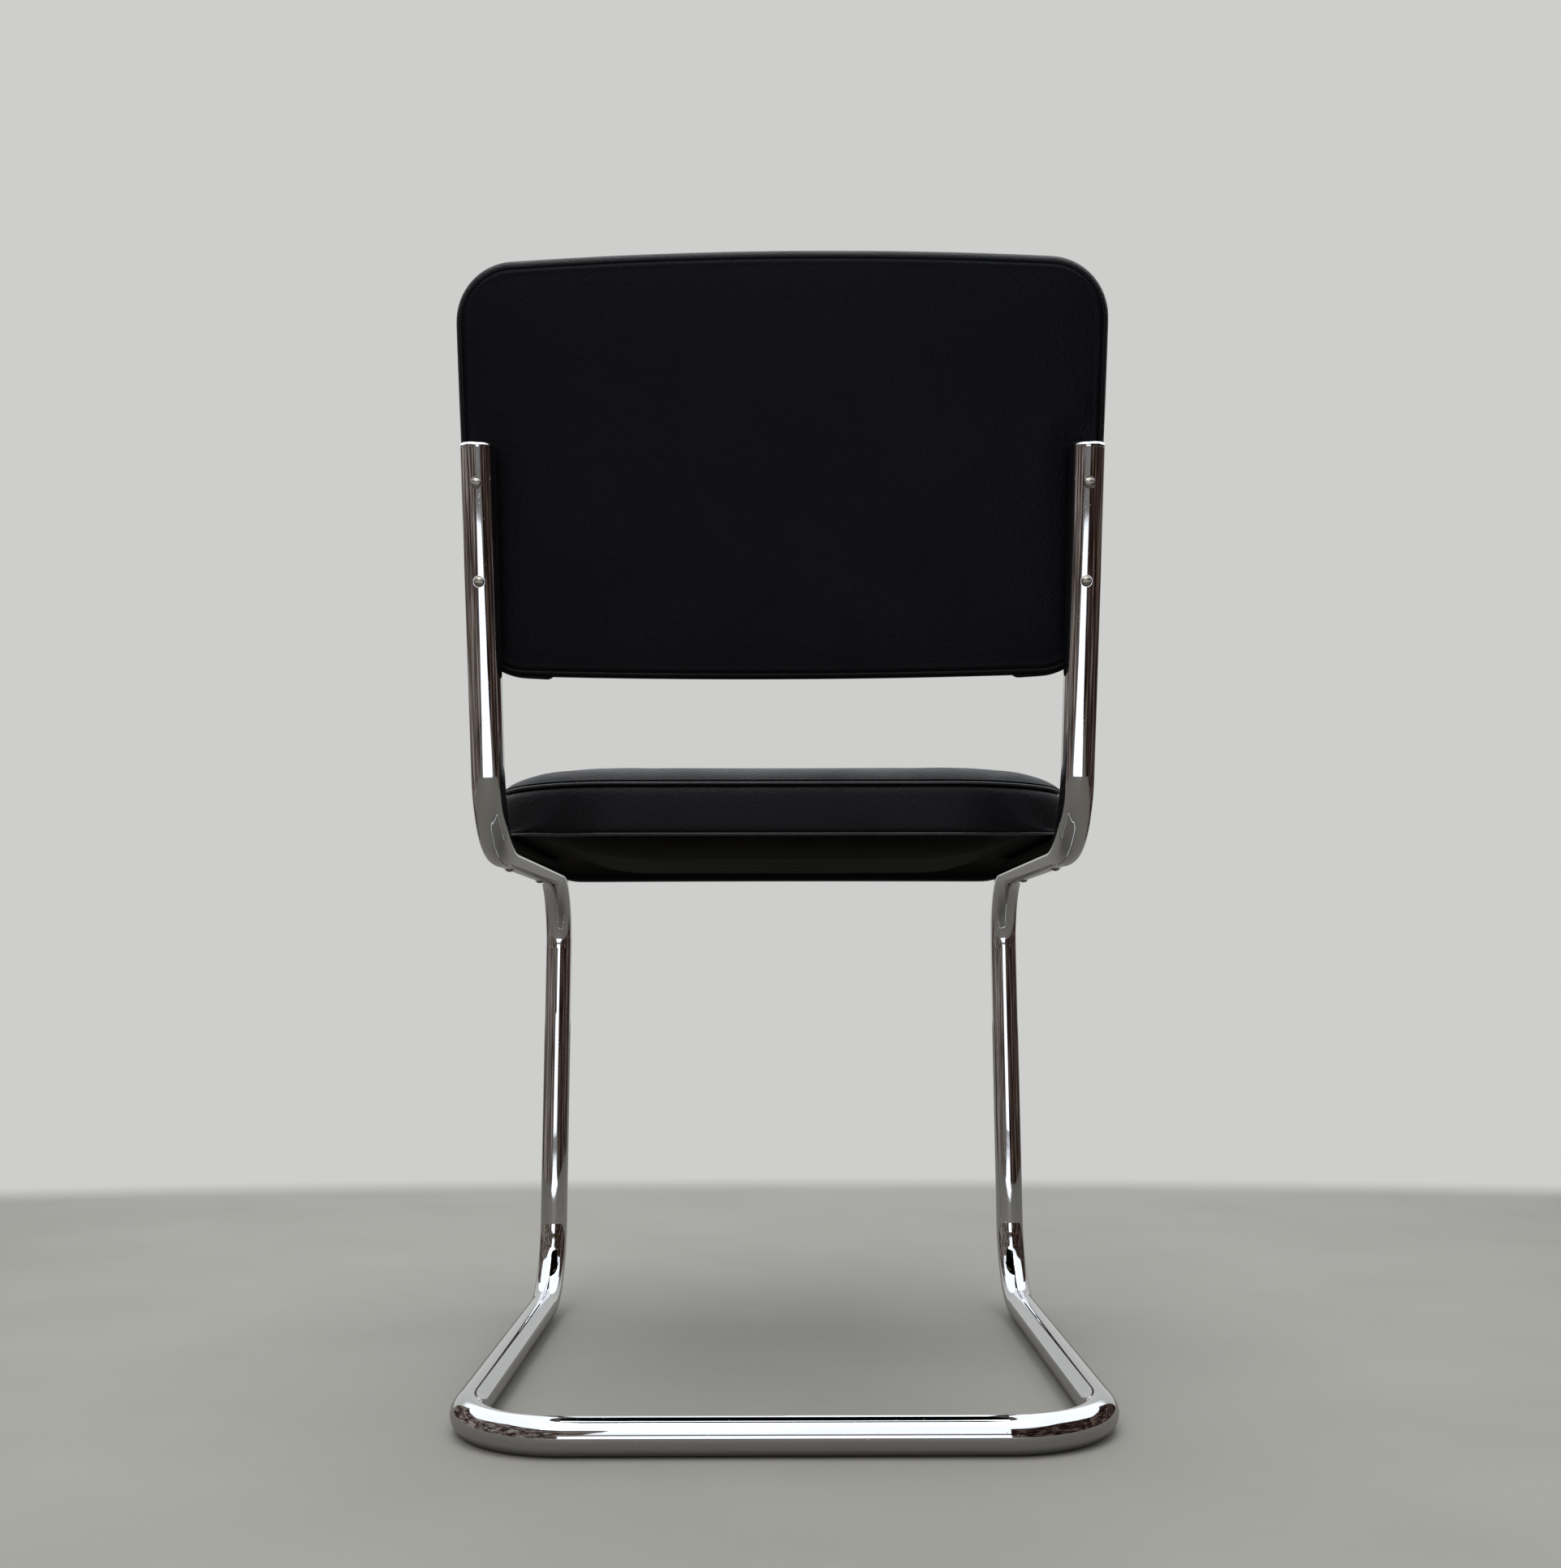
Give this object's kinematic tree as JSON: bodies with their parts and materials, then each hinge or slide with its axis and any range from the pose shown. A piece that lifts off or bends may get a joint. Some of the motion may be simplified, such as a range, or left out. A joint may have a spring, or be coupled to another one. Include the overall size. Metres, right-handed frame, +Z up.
{
  "type": "cantilever chair",
  "caption": "Cantilever dining chair: bent chromed tube frame without rear legs, padded seat and padded back in black leatherette.",
  "frame": {"origin": "on the floor, under the middle of the chair's bounding box", "axes": "+Z up, the front of the chair faces -Y, the sitter's left is +X"},
  "size_m": [0.474, 0.5396, 0.8275],
  "materials": {
    "chromed_steel": "polished chrome plate on bent steel tube",
    "nickel_screw": "nickelled steel, a little dulled",
    "zinc_steel": "zinc-plated steel",
    "black_leatherette": "fine-grained black leatherette, satin",
    "beech": "planed beech",
    "plywood": "sanded birch plywood",
    "foam": "upholstery foam",
    "webbing": "woven jute webbing"
  },
  "bodies": {
    "root": {"frame_tube_left": "chromed_steel", "frame_tube_right": "chromed_steel", "joint_sleeve": "zinc_steel", "sleeve_screws": "nickel_screw", "end_cap_left": "chromed_steel", "end_cap_right": "chromed_steel", "back_front_cover": "black_leatherette", "back_rear_cover": "black_leatherette", "back_board": "plywood", "back_padding": "foam", "back_corner_folds": "black_leatherette", "back_nuts": "zinc_steel", "back_screws": "nickel_screw", "seat_top_cover": "black_leatherette", "seat_band_cover": "black_leatherette", "seat_rail_rear": "beech", "seat_rail_front": "beech", "seat_rail_left": "beech", "seat_rail_right": "beech", "seat_rail_dowels": "beech", "seat_webbing": "webbing", "seat_padding": "foam", "seat_lower_cover": "black_leatherette", "seat_staples": "zinc_steel", "seat_screws": "nickel_screw"}
  },
  "joints": []
}
